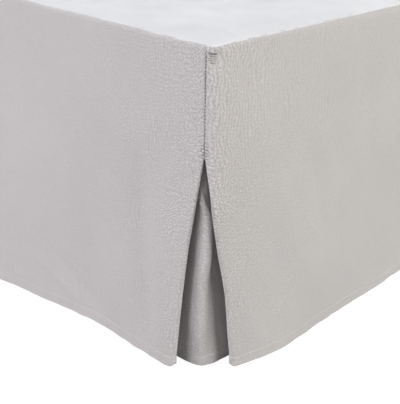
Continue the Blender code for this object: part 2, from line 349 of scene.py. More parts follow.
# ---- Grids of cloth -------------------------------------------------------------------------
class Grid:
    """Rows of points of a cloth, the cloth's own coordinates there, and how thick it is."""

    def __init__(self, points, flat, thick):
        self.points = points
        self.flat = flat
        self.thick = thick

    def normals(self):
        """Unit normals, outward for rows that run downward and columns away from the seam."""
        filled = self.points.copy()
        for row in filled:
            good = np.isfinite(row[:, 0])
            first, last = np.flatnonzero(good)[[0, -1]]
            row[:first] = row[first]
            row[last + 1 :] = row[last]
        down = np.gradient(filled, axis=0)
        across = np.gradient(filled, axis=1)
        normal = np.cross(across, down)
        length = np.linalg.norm(normal, axis=-1, keepdims=True)
        return normal / np.where(length > 0, length, 1.0)


def in_scene(name, data):
    obj = bpy.data.objects.new(name, data)
    bpy.context.scene.collection.objects.link(obj)
    return obj


def finished(bm, name, made_of, outward=True, sharp=None):
    """The bmesh as a smooth object, its faces turned outward, its edges past an angle sharp."""
    if outward:
        bmesh.ops.recalc_face_normals(bm, faces=bm.faces[:])
    mesh = bpy.data.meshes.new(name)
    bm.to_mesh(mesh)
    bm.free()
    mesh.shade_smooth()
    if sharp:
        mesh.set_sharp_from_angle(angle=math.radians(sharp))
    mesh.materials.append(made_of)
    return in_scene(name, mesh)


def face_with_place(bm, layer, corners, places):
    """A face, with the cloth's own coordinates at its corners."""
    face = bm.faces.new(corners)
    for loop, place in zip(face.loops, places):
        loop[layer].uv = place


def loft(bm, rings, capped=True):
    """A skin over rings of equally many vertices, closed at its ends."""
    count = len(rings[0])
    for lower, upper in zip(rings, rings[1:]):
        for k in range(count):
            m = (k + 1) % count
            bm.faces.new((lower[k], lower[m], upper[m], upper[k]))
    bm.faces.new(rings[0][::-1])
    if capped:
        bm.faces.new(rings[-1])


def sheet_object(name, grid, made_of):
    """A cloth's mesh from its grid, given its thickness, with its coordinates as a UV layer."""
    rows, columns = grid.points.shape[:2]
    bm = bmesh.new()
    layer = bm.loops.layers.uv.new("cloth")
    good = np.isfinite(grid.points[..., 0])
    made = {}
    for i in range(rows):
        for j in range(columns):
            if good[i, j]:
                made[i, j] = bm.verts.new(grid.points[i, j])
    for i in range(rows - 1):
        for j in range(columns - 1):
            keys = ((i, j), (i + 1, j), (i + 1, j + 1), (i, j + 1))
            if all(good[key] for key in keys):
                corners = [made[key] for key in keys]
                face_with_place(bm, layer, corners, [grid.flat[key] for key in keys])
    obj = finished(bm, name, made_of, outward=False)

    group = obj.vertex_groups.new(name="thick")
    for number, key in enumerate(made):
        group.add([number], min(1.0, grid.thick[key] / HEM_THICK), "REPLACE")
    solid = obj.modifiers.new("thickness", "SOLIDIFY")
    solid.thickness = HEM_THICK
    solid.vertex_group = "thick"
    solid.offset = 0.0
    return obj


# ---- The drops ------------------------------------------------------------------------------
ROLL_TURNS = np.radians([0, 15, 30, 45, 60, 75, 90])
HEM_HEIGHTS = HEM + np.array([0.0045, 0.0025, 0.0012, 0.0004, -0.0004, -0.0012, -0.003, -0.006])
MAIN_HEIGHTS = np.concatenate(
    [
        np.arange(0.3685, 0.262, -0.0012),
        np.arange(0.260, 0.021, -0.0040),
        HEM_HEIGHTS,
        (0.0045, 0.0025, 0.0012, 0.0004, 0.0),
    ]
)
HEM_ROW = len(ROLL_TURNS) + list(MAIN_HEIGHTS).index(HEM_HEIGHTS[3])
FOLD_TURNS = np.radians([150, 120, 90, 60, 30])
RETURN_STEPS = graded((0.010, 0.002), (0.030, 0.005))
RIGHT_STEPS = graded((0.014, 0.0009), (0.060, 0.0022), (0.360, 0.006))
LEFT_STEPS = graded((0.014, 0.0012), (0.060, 0.0026), (0.200, 0.008))
FOOT_COLUMNS = 60          # of the foot drop between the stretches beside its corners
SIDE_COLUMNS = 105         # of a side drop beyond the stretch beside its corner


def row_places(distance, roll_column):
    """Height above the hem, depth inside the plane, for each row at each distance."""
    distance = np.asarray(distance)[None, :]
    rise = through(ROLL, roll_column, distance)
    turns = ROLL_TURNS[:, None]
    crown = DROP - CLOTH / 2
    height = np.concatenate(
        [
            crown - rise * (1 - np.cos(turns)),
            np.broadcast_to(MAIN_HEIGHTS[:, None], (len(MAIN_HEIGHTS), distance.size)),
        ]
    )
    depth = np.zeros_like(height)
    depth[: len(turns)] = ROLL_OUT * (1 - np.sin(turns))
    return height, depth


def open_share(depth):
    """How much of a fold is left where the drop rolls in over the top edge."""
    return np.clip(1 - 2.5 * depth / ROLL_OUT, 0.0, 1.0)


def hem_corner(height, off_fold, radius):
    """The hem's height, lifted where the drop's lower corner is rounded at the slit."""
    s = np.clip(1 - off_fold / radius, 0.0, 1.0)
    lift = radius * (1 - np.sqrt(np.clip(1 - s**2, 0.0, 1.0)))
    return height + lift * np.clip(1 - height / 0.020, 0.0, 1.0) ** 2


def unevenness(off_seam, height, seed):
    """Soft waves, small crumples, seam puckers and the hem: how far the cloth stands out."""
    below = np.clip(1 - height / BEND_HEIGHT, 0.0, 1.0)
    slow = waves(off_seam, height, seed, 0.11, 0.60) * (0.0002 + 0.0010 * below)
    slow = slow * ease(off_seam / 0.05)
    small = waves(off_seam, height, seed + 1, 0.030, 0.060) * 0.00012 * ease(off_seam / 0.02)
    near = np.exp(-off_seam / 0.0045) * ease((height - SEAM_END + 0.012) / 0.012)
    near = near * (0.30 + ease(0.5 + 0.5 * waves(height, off_seam, seed + 5, 0.045, 0.5, 4)))
    drift = 2.2 * waves(height, off_seam, seed + 2, 0.02, 0.5, 4)
    pucker = np.sin(2 * math.pi * (height + 0.8 * off_seam) / 0.0042 + drift)
    hem_part = ease((HEM - height) / 0.0008)
    groove = bump_at(height, HEM + 0.0002, 0.0008)
    ripple = waves(off_seam, height, seed + 3, 0.008, 0.1) * bump_at(height, HEM, 0.006)
    ripple = ripple * ease(off_seam / 0.03)
    wavy_edge = waves(off_seam, height, seed + 4, 0.035, 1.0) * bump_at(height, 0.0, 0.010)
    return (
        slow
        + small
        + 0.00052 * near * pucker
        + 0.00025 * hem_part
        - 0.00018 * groove
        + 0.00014 * ripple
        + 0.00030 * wavy_edge
    )


def cloth_place(u, off_seam, height):
    """The cloth's own coordinates: its threads are drawn up beside the corner seam."""
    lift = SEAM_LIFT * np.exp(-np.abs(off_seam) / SEAM_REACH) * ease((height - 0.20) / 0.10)
    return np.stack(np.broadcast_arrays(u, height - lift), axis=-1)


def thickness_at(height):
    return np.where(height < HEM, HEM_THICK, CLOTH)


def dimple(off_seam, height):
    """The hollow that the upper bar tack draws into the side drop."""
    return 0.0036 * np.exp(
        -(((off_seam - 0.0125) / 0.0070) ** 2) - ((height - DROP + 0.0130) / 0.0065) ** 2
    )


class Drop:
    """One end of a drop at one corner: its face beside the fold, and its fold and return."""

    def __init__(self, side, is_foot, steps, seed, creased):
        self.is_foot = is_foot
        self.column = 1 if is_foot else 2
        self.side = side
        self.seed = seed
        self.creased = creased
        self.steps = steps

    def place(self, corner, q, depth, off_seam):
        """The point with its unevenness."""
        height = corner.height
        out = unevenness(off_seam, height, self.seed)
        off_fold = np.clip((q - self.fold_of(corner)) / SOFT_EDGE, 0.0, 1.0)
        below_seam = ease((SEAM_END + 0.010 - height) / 0.080)
        out = out - SOFT_DEPTH * (0.25 + 0.75 * below_seam) * (1 - off_fold) ** 2
        out = out + creases(self.creased, off_seam, height)
        if not self.is_foot:
            out = out - dimple(off_seam, height)
        point = corner.foot_point if self.is_foot else corner.side_point
        return point(q, depth - out)

    def outer(self, off_seam, height):
        """Points on the cloth's outer face below the roll, and the way out of it there."""
        off_seam, height = np.asarray(off_seam, float), np.asarray(height, float)

        def middle(off, level):
            q = off if self.is_foot else off - ARC_LENGTH
            return self.place(Corner(self.side, level), q, np.zeros_like(off), off)

        step = 0.0003
        points = middle(off_seam, height)
        across = middle(off_seam + step, height) - points
        rise = middle(off_seam, height + step) - points
        out = np.cross(across, rise)
        out *= (1 if self.is_foot else -1) * -self.side / np.linalg.norm(out, axis=-1)[..., None]
        return points + out * CLOTH / 2, out

    def fold_of(self, corner):
        return corner.foot_fold if self.is_foot else corner.side_fold

    def off_seam(self, q):
        return q if self.is_foot else q + ARC_LENGTH

    def flat(self, off_seam, height):
        """The cloth's own coordinates. Each side drop has whole metres added to its height."""
        if self.is_foot:
            u = off_seam if self.side > 0 else FOOT_SPAN - off_seam
            return cloth_place(u, off_seam, height)
        return cloth_place(-off_seam, off_seam, height) + (0.0, 1.0 if self.side > 0 else 2.0)

    def fold_places(self, distance, off_fold, radii):
        """Height, depth, corner, and the fold's radius and centre, for columns beside the fold.

        Each column stands off_fold and a number of radii inside the fold's edge."""
        height, depth = row_places(distance, self.column)
        off_edge = off_fold + through(FOLD, 1, height) * radii
        height = hem_corner(height, off_edge, HEM_CORNER[self.column - 1])
        corner = Corner(self.side, height)
        share = open_share(depth)
        radius = through(FOLD, 1, height) * share
        centre = self.fold_of(corner) - SEAM_HALF_GAP * (1 - share) + radius
        return height, depth, corner, radius, centre

    def face(self):
        """Columns from the fold away from the corner."""
        height, depth, corner, _, centre = self.fold_places(self.steps, self.steps, 1.0)
        q = centre + self.steps
        off_seam = self.off_seam(q)
        points = self.place(corner, q, depth, off_seam)
        return points, self.flat(off_seam, height), thickness_at(height)

    def tail(self):
        """Columns of the return from its back edge to the fold, missing in the roll."""
        back = 4
        flat_count = back + len(RETURN_STEPS)
        bend = np.zeros(len(FOLD_TURNS))
        off_fold = np.concatenate([np.full(back, RETURN_STEPS[-1]), RETURN_STEPS[::-1], bend])
        turn = np.concatenate([np.full(flat_count, math.pi), FOLD_TURNS])
        height, depth, corner, radius, centre = self.fold_places(
            np.zeros_like(off_fold), off_fold, 1 - np.sin(turn)
        )
        reach = corner.foot_reach if self.is_foot else corner.side_reach
        inset = through(INSERT, self.column, height)
        end_depth = reach(RETURN_END) + inset - CAD_CLOTH - PIECE_GAP
        end_q = RETURN_END - (corner.arc_a if self.is_foot else corner.arc_b)
        q = centre + off_fold
        q[:, :back] += (end_q - q)[:, :back] * np.arange(back, 0, -1) / back
        past = radius * turn + q - centre
        q = q - radius * np.sin(turn)
        start = np.clip(centre, 0.0, None)
        t = ease((q - start) / (end_q - start))
        inner = 2 * radius + (end_depth - 2 * radius) * t
        inner = np.where(turn < math.pi, radius * (1 - np.cos(turn)), inner)
        points = self.place(corner, q, inner + depth, np.abs(self.off_seam(q)))
        points[: len(ROLL_TURNS) - 1, :flat_count] = np.nan
        points[: len(ROLL_TURNS) - 3] = np.nan
        flat = self.flat(self.off_seam(centre) - past, height)
        return points, flat, thickness_at(height)


def foot_grid():
    right = Drop(1, True, RIGHT_STEPS, 11, FOOT_CREASES)
    left = Drop(-1, True, LEFT_STEPS, 21, SIDE_CREASES)
    right_face, left_face = right.face(), left.face()
    right_x, left_x = right_face[0][:, -1:, 0], left_face[0][:, -1:, 0]
    share = np.arange(1, FOOT_COLUMNS)[None, :] / FOOT_COLUMNS
    a = HALF_WIDTH - (right_x + (left_x - right_x) * share)
    height, depth = row_places(a[0], 1)
    corner = Corner(1, height)
    from_right, from_left = a - corner.arc_a, BED_WIDTH - a - corner.arc_a
    blend = ease(share)
    out = unevenness(from_right, height, right.seed) * (1 - blend)
    out = out + unevenness(from_left, height, left.seed) * blend
    out = out + creases(FOOT_CREASES, from_right, height)
    out = out + creases(SIDE_CREASES, from_left, height)
    points = corner.foot_point(from_right, depth - out)
    u = from_right * (1 - blend) + (FOOT_SPAN - from_left) * blend
    middle = (points, cloth_place(u, from_right, height), thickness_at(height))
    return joined([right.tail(), right_face, middle, mirrored(left_face), mirrored(left.tail())])


def side_grid(side, steps, seed, creased):
    drop = Drop(side, False, steps, seed, creased)
    near = drop.face()
    share = np.arange(1, SIDE_COLUMNS + 1)[None, :] / SIDE_COLUMNS
    b = (near[0][:, -1:, 1] - FOOT_Y) * (1 - share) + BED_LENGTH * share
    height, depth = row_places(b[0], 2)
    corner = Corner(side, height)
    q = b - corner.arc_b
    off_seam = drop.off_seam(q)
    out = unevenness(off_seam, height, seed) + creases(creased, off_seam, height)
    points = corner.side_point(q, depth - out)
    far = (points, drop.flat(off_seam, height), thickness_at(height))
    return joined([drop.tail(), near, far])


def mirrored(part):
    return tuple(array[:, ::-1] for array in part)


def joined(parts):
    return Grid(*(np.concatenate([part[i] for part in parts], axis=1) for i in range(3)))


# ---- The pleat inserts ----------------------------------------------------------------------
INSERT_HEIGHTS = np.concatenate(
    [
        [DROP - INSERT_TOP],
        np.arange(0.360, 0.254, -0.0040),
        np.arange(0.252, 0.188, -0.0016),
        np.arange(0.186, 0.022, -0.0040),
        HEM_HEIGHTS,
        (0.0045, 0.0025, 0.0012, 0.0),
    ]
)
INSERT_HEM_ROW = list(INSERT_HEIGHTS).index(HEM_HEIGHTS[3])
INSERT_ARM = graded((0.020, 0.001), (0.030, 0.002), (0.066, 0.006)) / 0.066


def insert_grid(side, seed):
    height = INSERT_HEIGHTS[:, None]
    foot_inset, side_inset, radius = (through(INSERT, i, height) for i in (1, 2, 3))
    centre_a = side_inset + radius
    centre_b = foot_inset + radius
    turns = np.linspace(0, math.pi / 2, 17)[1:-1]
    a = np.concatenate(
        [
            centre_a + (INSERT_END - centre_a) * INSERT_ARM[::-1],
            centre_a - radius * np.sin(turns),
            np.repeat(side_inset, len(INSERT_ARM), axis=1),
        ],
        axis=1,
    )
    b = np.concatenate(
        [
            np.repeat(foot_inset, len(INSERT_ARM), axis=1),
            centre_b - radius * np.cos(turns),
            centre_b + (INSERT_END - centre_b) * INSERT_ARM,
        ],
        axis=1,
    )
    shape = a.shape
    steps = np.hypot(np.diff(a, axis=1), np.diff(b, axis=1))
    along = np.concatenate([np.zeros((shape[0], 1)), np.cumsum(steps, axis=1)], axis=1)
    along = along - along[:, shape[1] // 2][:, None]
    height = np.broadcast_to(height, shape)
    points = Corner(side, height).world(a, b)
    points[..., 2] -= INSERT_SAG * np.clip(1 - height / 0.1, 0.0, 1.0)
    grid = Grid(points, np.stack([along + 0.06, height], axis=-1), thickness_at(height))
    outward = grid.normals()
    out = creases(INSERT_CREASES, along, height)
    out = out + waves(along, height, seed, 0.05, 0.12) * 0.0006
    out = out * ease((0.045 - np.abs(along)) / 0.02)
    out = out + 0.00025 * ease((HEM - height) / 0.0008) - 0.0003 * bump_at(height, HEM, 0.0009)
    inward = np.array([-side, 1.0, 0.0])
    facing = np.sign((outward * inward).sum(-1))
    grid.points = points - outward * (out * facing)[..., None]
    return grid


# ---- The deck -------------------------------------------------------------------------------
DECK_HEM = 0.011           # depth of the hem at the deck's head end
DECK_HEM_ROW = -9          # row of the deck's grid beside that hem, for its stitches


def deck_grid():
    half = HALF_WIDTH - DECK_EDGE
    low, high = FOOT_Y + DECK_EDGE, HEAD_Y
    across = graded((0.004, 0.0010), (0.012, 0.002), (0.080, 0.004), (0.300, 0.010), (half, 0.018))
    x = np.concatenate([half - across, (across - half)[::-1][1:]])
    foot_end = graded((0.004, 0.0010), (0.012, 0.002), (0.080, 0.004), (0.400, 0.010))
    head_end = graded((0.004, 0.001), (0.016, 0.002), (0.060, 0.008))
    middle = np.linspace(low + foot_end[-1], high - head_end[-1], 80)[1:-1]
    y = np.concatenate([low + foot_end, middle, (high - head_end)[::-1]])
    gx, gy = np.meshgrid(x, y)
    from_side = half - np.abs(gx)
    from_foot = gy - low
    from_head = high - gy
    radius = CORNER_RADIUS - DECK_EDGE
    # the square of the grid at each foot corner is drawn into a quarter circle
    p = np.clip(1 - from_side / radius, 0.0, 1.0)
    r = np.clip(1 - from_foot / radius, 0.0, 1.0)
    in_corner = (p > 0) & (r > 0)
    round_x = half - radius + radius * p * np.sqrt(1 - r**2 / 2)
    round_y = low + radius - radius * r * np.sqrt(1 - p**2 / 2)
    x = np.where(in_corner, np.sign(gx) * round_x, gx)
    y = np.where(in_corner, round_y, gy)

    edge = np.minimum(from_side, from_foot)
    turn_down = 0.0008 * np.clip(1 - edge / 0.010, 0.0, 1.0) ** 2
    crown = 0.0016 * ease(edge / 0.045)
    wrinkle_foot = waves(gx + 0.7 * from_foot, from_foot, 31, 0.036, 0.30)
    wrinkle_side = waves(gy - 0.7 * from_side, from_side, 32, 0.042, 0.30)
    fade_foot = np.exp(-from_foot / 0.045) * ease(from_foot / 0.006)
    fade_side = np.exp(-from_side / 0.045) * ease(from_side / 0.006)
    soft = waves(gx, gy, 33, 0.22, 0.26) * ease(edge / 0.08)
    z = (
        TOP
        - CLOTH / 2
        + 0.0004
        + crown
        - turn_down
        + 0.0007 * np.abs(wrinkle_foot) * fade_foot
        + 0.0007 * np.abs(wrinkle_side) * fade_side
        + 0.0010 * np.abs(soft)
        + 0.0006 * ease((DECK_HEM - from_head) / 0.0008)
        - 0.0003 * bump_at(from_head, DECK_HEM + 0.0005, 0.0008)
    )
    flat = np.stack([gx + 3.0, gy], axis=-1)
    thick = np.where(from_head < DECK_HEM, HEM_THICK, CLOTH)
    return Grid(np.stack([x, y, z], axis=-1), flat, thick)


# ---- Threads --------------------------------------------------------------------------------
def thread_piece(bm, points, outs, radius, sides=5):
    """One stitch along points on the cloth: a short thread that dives in at both ends."""
    points, outs = np.asarray(points, float), np.asarray(outs, float)
    ahead = np.gradient(points, axis=0)
    ahead /= np.linalg.norm(ahead, axis=1)[:, None]
    first, last = points[0] - ahead[0] * radius, points[-1] + ahead[-1] * radius
    centres = [first - outs[0] * radius, *(points + outs * radius * 0.3), last - outs[-1] * radius]
    aheads, ups = [ahead[0], *ahead, ahead[-1]], [outs[0], *outs, outs[-1]]
    rings = []
    for i, (centre, along, up) in enumerate(zip(centres, aheads, ups)):
        side = np.cross(along, up)
        side /= np.linalg.norm(side)
        size = radius * (0.5 if i in (0, len(centres) - 1) else 1.0)
        ring = []
        for k in range(sides):
            turn = 2 * math.pi * k / sides
            ring.append(bm.verts.new(centre + (side * math.cos(turn) + up * math.sin(turn)) * size))
        rings.append(ring)
    loft(bm, rings)


def thread_object(name, stitches, radius, made_of):
    """Joined stitches, each given by its points on the cloth and the way out at each."""
    bm = bmesh.new()
    for points, outs in stitches:
        thread_piece(bm, points, outs, radius)
    return finished(bm, name, made_of)


def stitches_on(points, outs):
    """Stitches along a line of a cloth, on the side that outs points to."""
    both = np.concatenate([points, points + outs], axis=1)
    steps = np.linalg.norm(np.diff(points, axis=0), axis=1)
    along = np.concatenate([[0.0], np.cumsum(steps)])
    made = []
    for place in np.arange(STITCH, along[-1] - STITCH, STITCH):
        ends = []
        for shift in (-STITCH_SHOWN / 2, STITCH_SHOWN / 2):
            ends.append([np.interp(place + shift * STITCH, along, both[:, i]) for i in range(6)])
        ends = np.array(ends)
        outs = ends[:, 3:] - ends[:, :3]
        made.append((ends[:, :3], outs / np.linalg.norm(outs, axis=1)[:, None]))
    return made


def outer_line(grid, row):
    """A row of a grid, lifted just off its outer face, with the way out of it."""
    normals = grid.normals()
    under_bed = np.array([0.0, (FOOT_Y + HEAD_Y) / 2, -1.0])
    facing = np.sign(np.nansum(normals * (grid.points - under_bed), axis=-1))
    points, outs, thick = grid.points[row], (normals * facing[..., None])[row], grid.thick[row]
    good = np.isfinite(points[:, 0])
    points, outs, thick = points[good], outs[good], thick[good]
    return points + outs * (thick[:, None] / 2 + STITCH_LIFT), outs


# ---- Materials ------------------------------------------------------------------------------
class Value:
    """A node's output, which adds and multiplies with numbers and other outputs."""

    def __init__(self, shader, socket):
        self.shader = shader
        self.socket = socket

    def __add__(self, other):
        return self.shader.math("ADD", self, other)

    def __sub__(self, other):
        return self.shader.math("SUBTRACT", self, other)

    def __rsub__(self, other):
        return self.shader.math("SUBTRACT", other, self)

    def __mul__(self, other):
        return self.shader.math("MULTIPLY", self, other)

    def __truediv__(self, other):
        return self.shader.math("DIVIDE", self, other)



class Shader:
    """A material and its nodes. Each method adds a node and gives its output as a Value."""

    def __init__(self, name, roughness):
        self.material = bpy.data.materials.new(name)
        self.material.use_nodes = True
        self.tree = self.material.node_tree
        self.surface = self.tree.nodes["Principled BSDF"]
        self.surface.inputs["Roughness"].default_value = roughness

    def add(self, kind, inputs, output=0, **settings):
        made = self.tree.nodes.new(kind)
        for key, value in settings.items():
            setattr(made, key, value)
        for key, value in inputs.items():
            self.join(value, made.inputs[key])
        return Value(self, made.outputs[output])

    def join(self, value, socket):
        if isinstance(value, Value):
            self.tree.links.new(value.socket, socket)
        else:
            socket.default_value = value

    def math(self, operation, *values):
        return self.add("ShaderNodeMath", dict(enumerate(values)), operation=operation)

    def least(self, value, low):
        return self.math("MAXIMUM", value, low)

    def cloth_place(self):
        return self.add("ShaderNodeUVMap", {}, uv_map="cloth")

    def object_place(self):
        return self.add("ShaderNodeTexCoord", {}, output=3)

    def split(self, vector):
        node = self.tree.nodes.new("ShaderNodeSeparateXYZ")
        self.join(vector, node.inputs[0])
        return [Value(self, output) for output in node.outputs]

    def shift(self, vector, amount):
        offset = (amount, -amount, 0.0)
        return self.add("ShaderNodeVectorMath", {0: vector, 1: offset}, operation="ADD")

    def stretch(self, vector, scale):
        return self.add("ShaderNodeVectorMath", {0: vector, 1: scale}, operation="MULTIPLY")

    def noise(self, vector, scale=1.0, detail=2.0, rough=0.5):
        inputs = {"Vector": vector, "Scale": scale, "Detail": detail, "Roughness": rough}
        return self.add("ShaderNodeTexNoise", inputs)

    def centred(self, vector, scale=1.0, detail=2.0, rough=0.5):
        """Noise around zero, mostly between -1 and 1."""
        return self.math("MULTIPLY_ADD", self.noise(vector, scale, detail, rough), 4.0, -2.0)

    def slope(self, value, low, high):
        """0 below low, 1 above high, and a smooth rise between."""
        inputs = {"Value": value, "From Min": low, "From Max": high}
        return self.add("ShaderNodeMapRange", inputs, interpolation_type="SMOOTHSTEP")

    def wave(self, phase):
        return self.math("COSINE", phase * (2 * math.pi))

    def mix(self, factor, first, second):
        node = self.tree.nodes.new("ShaderNodeMix")
        node.data_type = "RGBA"
        self.join(factor, node.inputs[0])
        self.join(first, node.inputs[6])
        self.join(second, node.inputs[7])
        return Value(self, node.outputs[2])

    def bump(self, height, strength, distance):
        inputs = {"Height": height, "Strength": strength, "Distance": distance}
        return self.add("ShaderNodeBump", inputs)

    def finish(self, colour, normal=None):
        self.join(colour, self.surface.inputs["Base Color"])
        if normal is not None:
            self.join(normal, self.surface.inputs["Normal"])
        return self.material


def woven_cloth(name, dark, light, thread, beat_size, grain, patchy):
    """Plain woven cloth: fine threads, wavy lines where they beat together, slubs and patches.

    grain is the strength of the lines far from a seam, and what is added beside one. patchy is
    the strength and the scale of the patches."""
    shader = Shader(name, 0.92)
    place = shader.cloth_place()
    u, v, _ = shader.split(place)
    off_left = shader.math("ABSOLUTE", u - FOOT_SPAN)
    off_seam = shader.math("MINIMUM", shader.math("ABSOLUTE", u), off_left)
    wide = shader.math("EXPONENT", off_seam * -14.0)
    beside = shader.math("EXPONENT", off_seam * -170.0)
    # the side drops' lines run upright near the top, and are weaker there
    on_side = shader.math("GREATER_THAN", v, 0.7)
    upper_side = on_side * shader.slope(shader.math("FRACT", v), 0.22, 0.31) * 0.7

    def phase(along, size, scale, seed):
        moved = shader.shift(place, seed)
        bent = shader.centred(moved, scale, 1.0) * 1.7
        return along / size + bent + shader.centred(moved, 150.0, 1.0) * 0.42

    fine = shader.wave(u / thread) * shader.wave(v / thread)
    a = phase(u, beat_size[0], 17.0, 3.1)
    b = phase(v, beat_size[1], 24.0, 7.7)
    mask = shader.centred(shader.shift(place, 5.3), 15.0, 1.0)
    upright_mask = shader.centred(shader.shift(place, 9.1), 13.0, 1.0)
    falling = shader.wave(a + b) * shader.least(mask, 0.15)
    rising = shader.wave(a - b) * shader.least(mask * -1.0, 0.15)
    upright = shader.wave(a) * (shader.least(upright_mask, 0.2) + upper_side)
    level = shader.wave(b) * 0.35
    open_cloth = (falling + rising + level) * (1.0 - upper_side * 0.6) + upright
    uneven = shader.least(shader.centred(shader.shift(place, 2.3), 20.0, 1.0), 0.3)
    chevrons = shader.wave(b) * uneven * (beside * 3.4)
    wide = wide * (1.4 - upper_side * 0.6)
    beat = (open_cloth * (1.0 - beside) + chevrons) * (wide * grain[1] + grain[0])

    slubs = shader.centred(shader.stretch(place, (45.0, 700.0, 1.0)))
    ends = shader.centred(shader.stretch(place, (600.0, 60.0, 1.0)))
    specks = shader.centred(shader.stretch(place, (400.0, 480.0, 1.0)), 1.0, 3.0, 0.8)
    speckle = specks * (wide * (2.6 * grain[1]) + 0.3 * grain[0])
    streaks = (slubs * 0.8 + ends * 0.5) * grain[0]
    patches = shader.centred(place, patchy[1], 3.0) * patchy[0]
    tone = fine * 0.08 + beat + speckle + streaks + patches + 0.5
    tone = shader.math("MINIMUM", shader.least(tone, 0.0), 1.0)
    relief = fine * 0.4 + beat + slubs * 0.3 + ends * 0.2 + speckle
    shader.surface.inputs["Sheen Weight"].default_value = 0.08
    shader.surface.inputs["Sheen Roughness"].default_value = 0.6
    shader.surface.inputs["Specular IOR Level"].default_value = 0.25
    return shader.finish(shader.mix(tone, dark, light), shader.bump(relief, 0.5, 0.0004))


def darker(colour, share):
    return tuple(c * share for c in colour[:3]) + (1.0,)


def sewing_thread(name, colour):
    shader = Shader(name, 0.6)
    twist = shader.centred(shader.object_place(), 2500.0, 1.0)
    return shader.finish(shader.mix(twist * 0.25 + 0.5, darker(colour, 0.75), colour))


def striped_ticking(name):
    """Off-white ticking with fine grey stripes, in metres round the base."""
    shader = Shader(name, 0.85)
    place = shader.cloth_place()
    u, v, _ = shader.split(place)
    stripe = shader.math("GREATER_THAN", shader.wave(u / 0.024), 0.72)
    weave = shader.wave(u / 0.0012) * shader.wave(v / 0.0012)
    tone = weave * 0.15 + shader.centred(place, 5.0, 3.0) * 0.15 + 0.5
    plain = shader.mix(tone, (0.60, 0.58, 0.54, 1.0), (0.72, 0.71, 0.67, 1.0))
    colour = shader.mix(stripe * 0.55, plain, (0.30, 0.32, 0.36, 1.0))
    return shader.finish(colour, shader.bump(weave, 0.3, 0.0003))


def dust_cloth(name):
    shader = Shader(name, 0.95)
    place = shader.object_place()
    fibre = shader.centred(place, 500.0, 3.0, 0.7)
    dots = shader.math("GREATER_THAN", shader.noise(place, 900.0, 0.0), 0.62)
    tone = fibre * 0.2 - dots * 0.2 + 0.5
    colour = shader.mix(tone, (0.05, 0.05, 0.055, 1.0), (0.10, 0.10, 0.105, 1.0))
    return shader.finish(colour, shader.bump(fibre, 0.3, 0.0003))


def turned_wood(name):
    """Dark stained wood with its grain up the leg."""
    shader = Shader(name, 0.45)
    place = shader.object_place()
    grain = shader.centred(shader.stretch(place, (160.0, 160.0, 9.0)), 1.0, 4.0, 0.6)
    pores = shader.centred(shader.stretch(place, (1400.0, 1400.0, 60.0)))
    tone = grain * 0.22 + pores * 0.12 + 0.5
    colour = shader.mix(tone, (0.030, 0.016, 0.009, 1.0), (0.150, 0.080, 0.042, 1.0))
    shader.surface.inputs["Coat Weight"].default_value = 0.25
    shader.surface.inputs["Coat Roughness"].default_value = 0.3
    return shader.finish(colour, shader.bump(pores, 0.15, 0.0002))


def dull_plastic(name, colour):
    shader = Shader(name, 0.6)
    wear = shader.centred(shader.object_place(), 400.0, 3.0)
    return shader.finish(shader.mix(wear * 0.3 + 0.5, darker(colour, 0.7), colour))


# ---- Building the skirt ---------------------------------------------------------------------
def skirt(grey, white, grey_thread, white_thread, dark_thread_painted_shade):
    grids = {
        "drop_foot": foot_grid(),
        "drop_right": side_grid(1, RIGHT_STEPS, 12, SIDE_CREASES),
        "drop_left": side_grid(-1, LEFT_STEPS, 22, FOOT_CREASES),
        "pleat_right": insert_grid(1, 41),
        "pleat_left": insert_grid(-1, 42),
    }
    for name, grid in grids.items():
        piece = sheet_object(f"{name}_cloth", grid, grey)
        row = INSERT_HEM_ROW if name.startswith("pleat") else HEM_ROW
        sewn = stitches_on(*outer_line(grid, row))
        threads = [thread_object(f"{name}_hem_stitches", sewn, THREAD, grey_thread)]
        if name in ("drop_right", "drop_left"):
            threads += seam_threads(1 if name == "drop_right" else -1, dark_thread_painted_shade)
        for made in (piece, *threads):
            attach(made, "root")
        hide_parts(name)

    grid = deck_grid()
    piece = sheet_object("deck_cloth", grid, white)
    points = grid.points[DECK_HEM_ROW] + np.array([0.0, 0.0, HEM_THICK / 2])
    outs = np.tile([0.0, 0.0, 1.0], (len(points), 1))
    threads = thread_object("deck_hem_stitches", stitches_on(points, outs), THREAD, white_thread)
    for made in (piece, threads):
        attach(made, "root")
    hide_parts("deck")


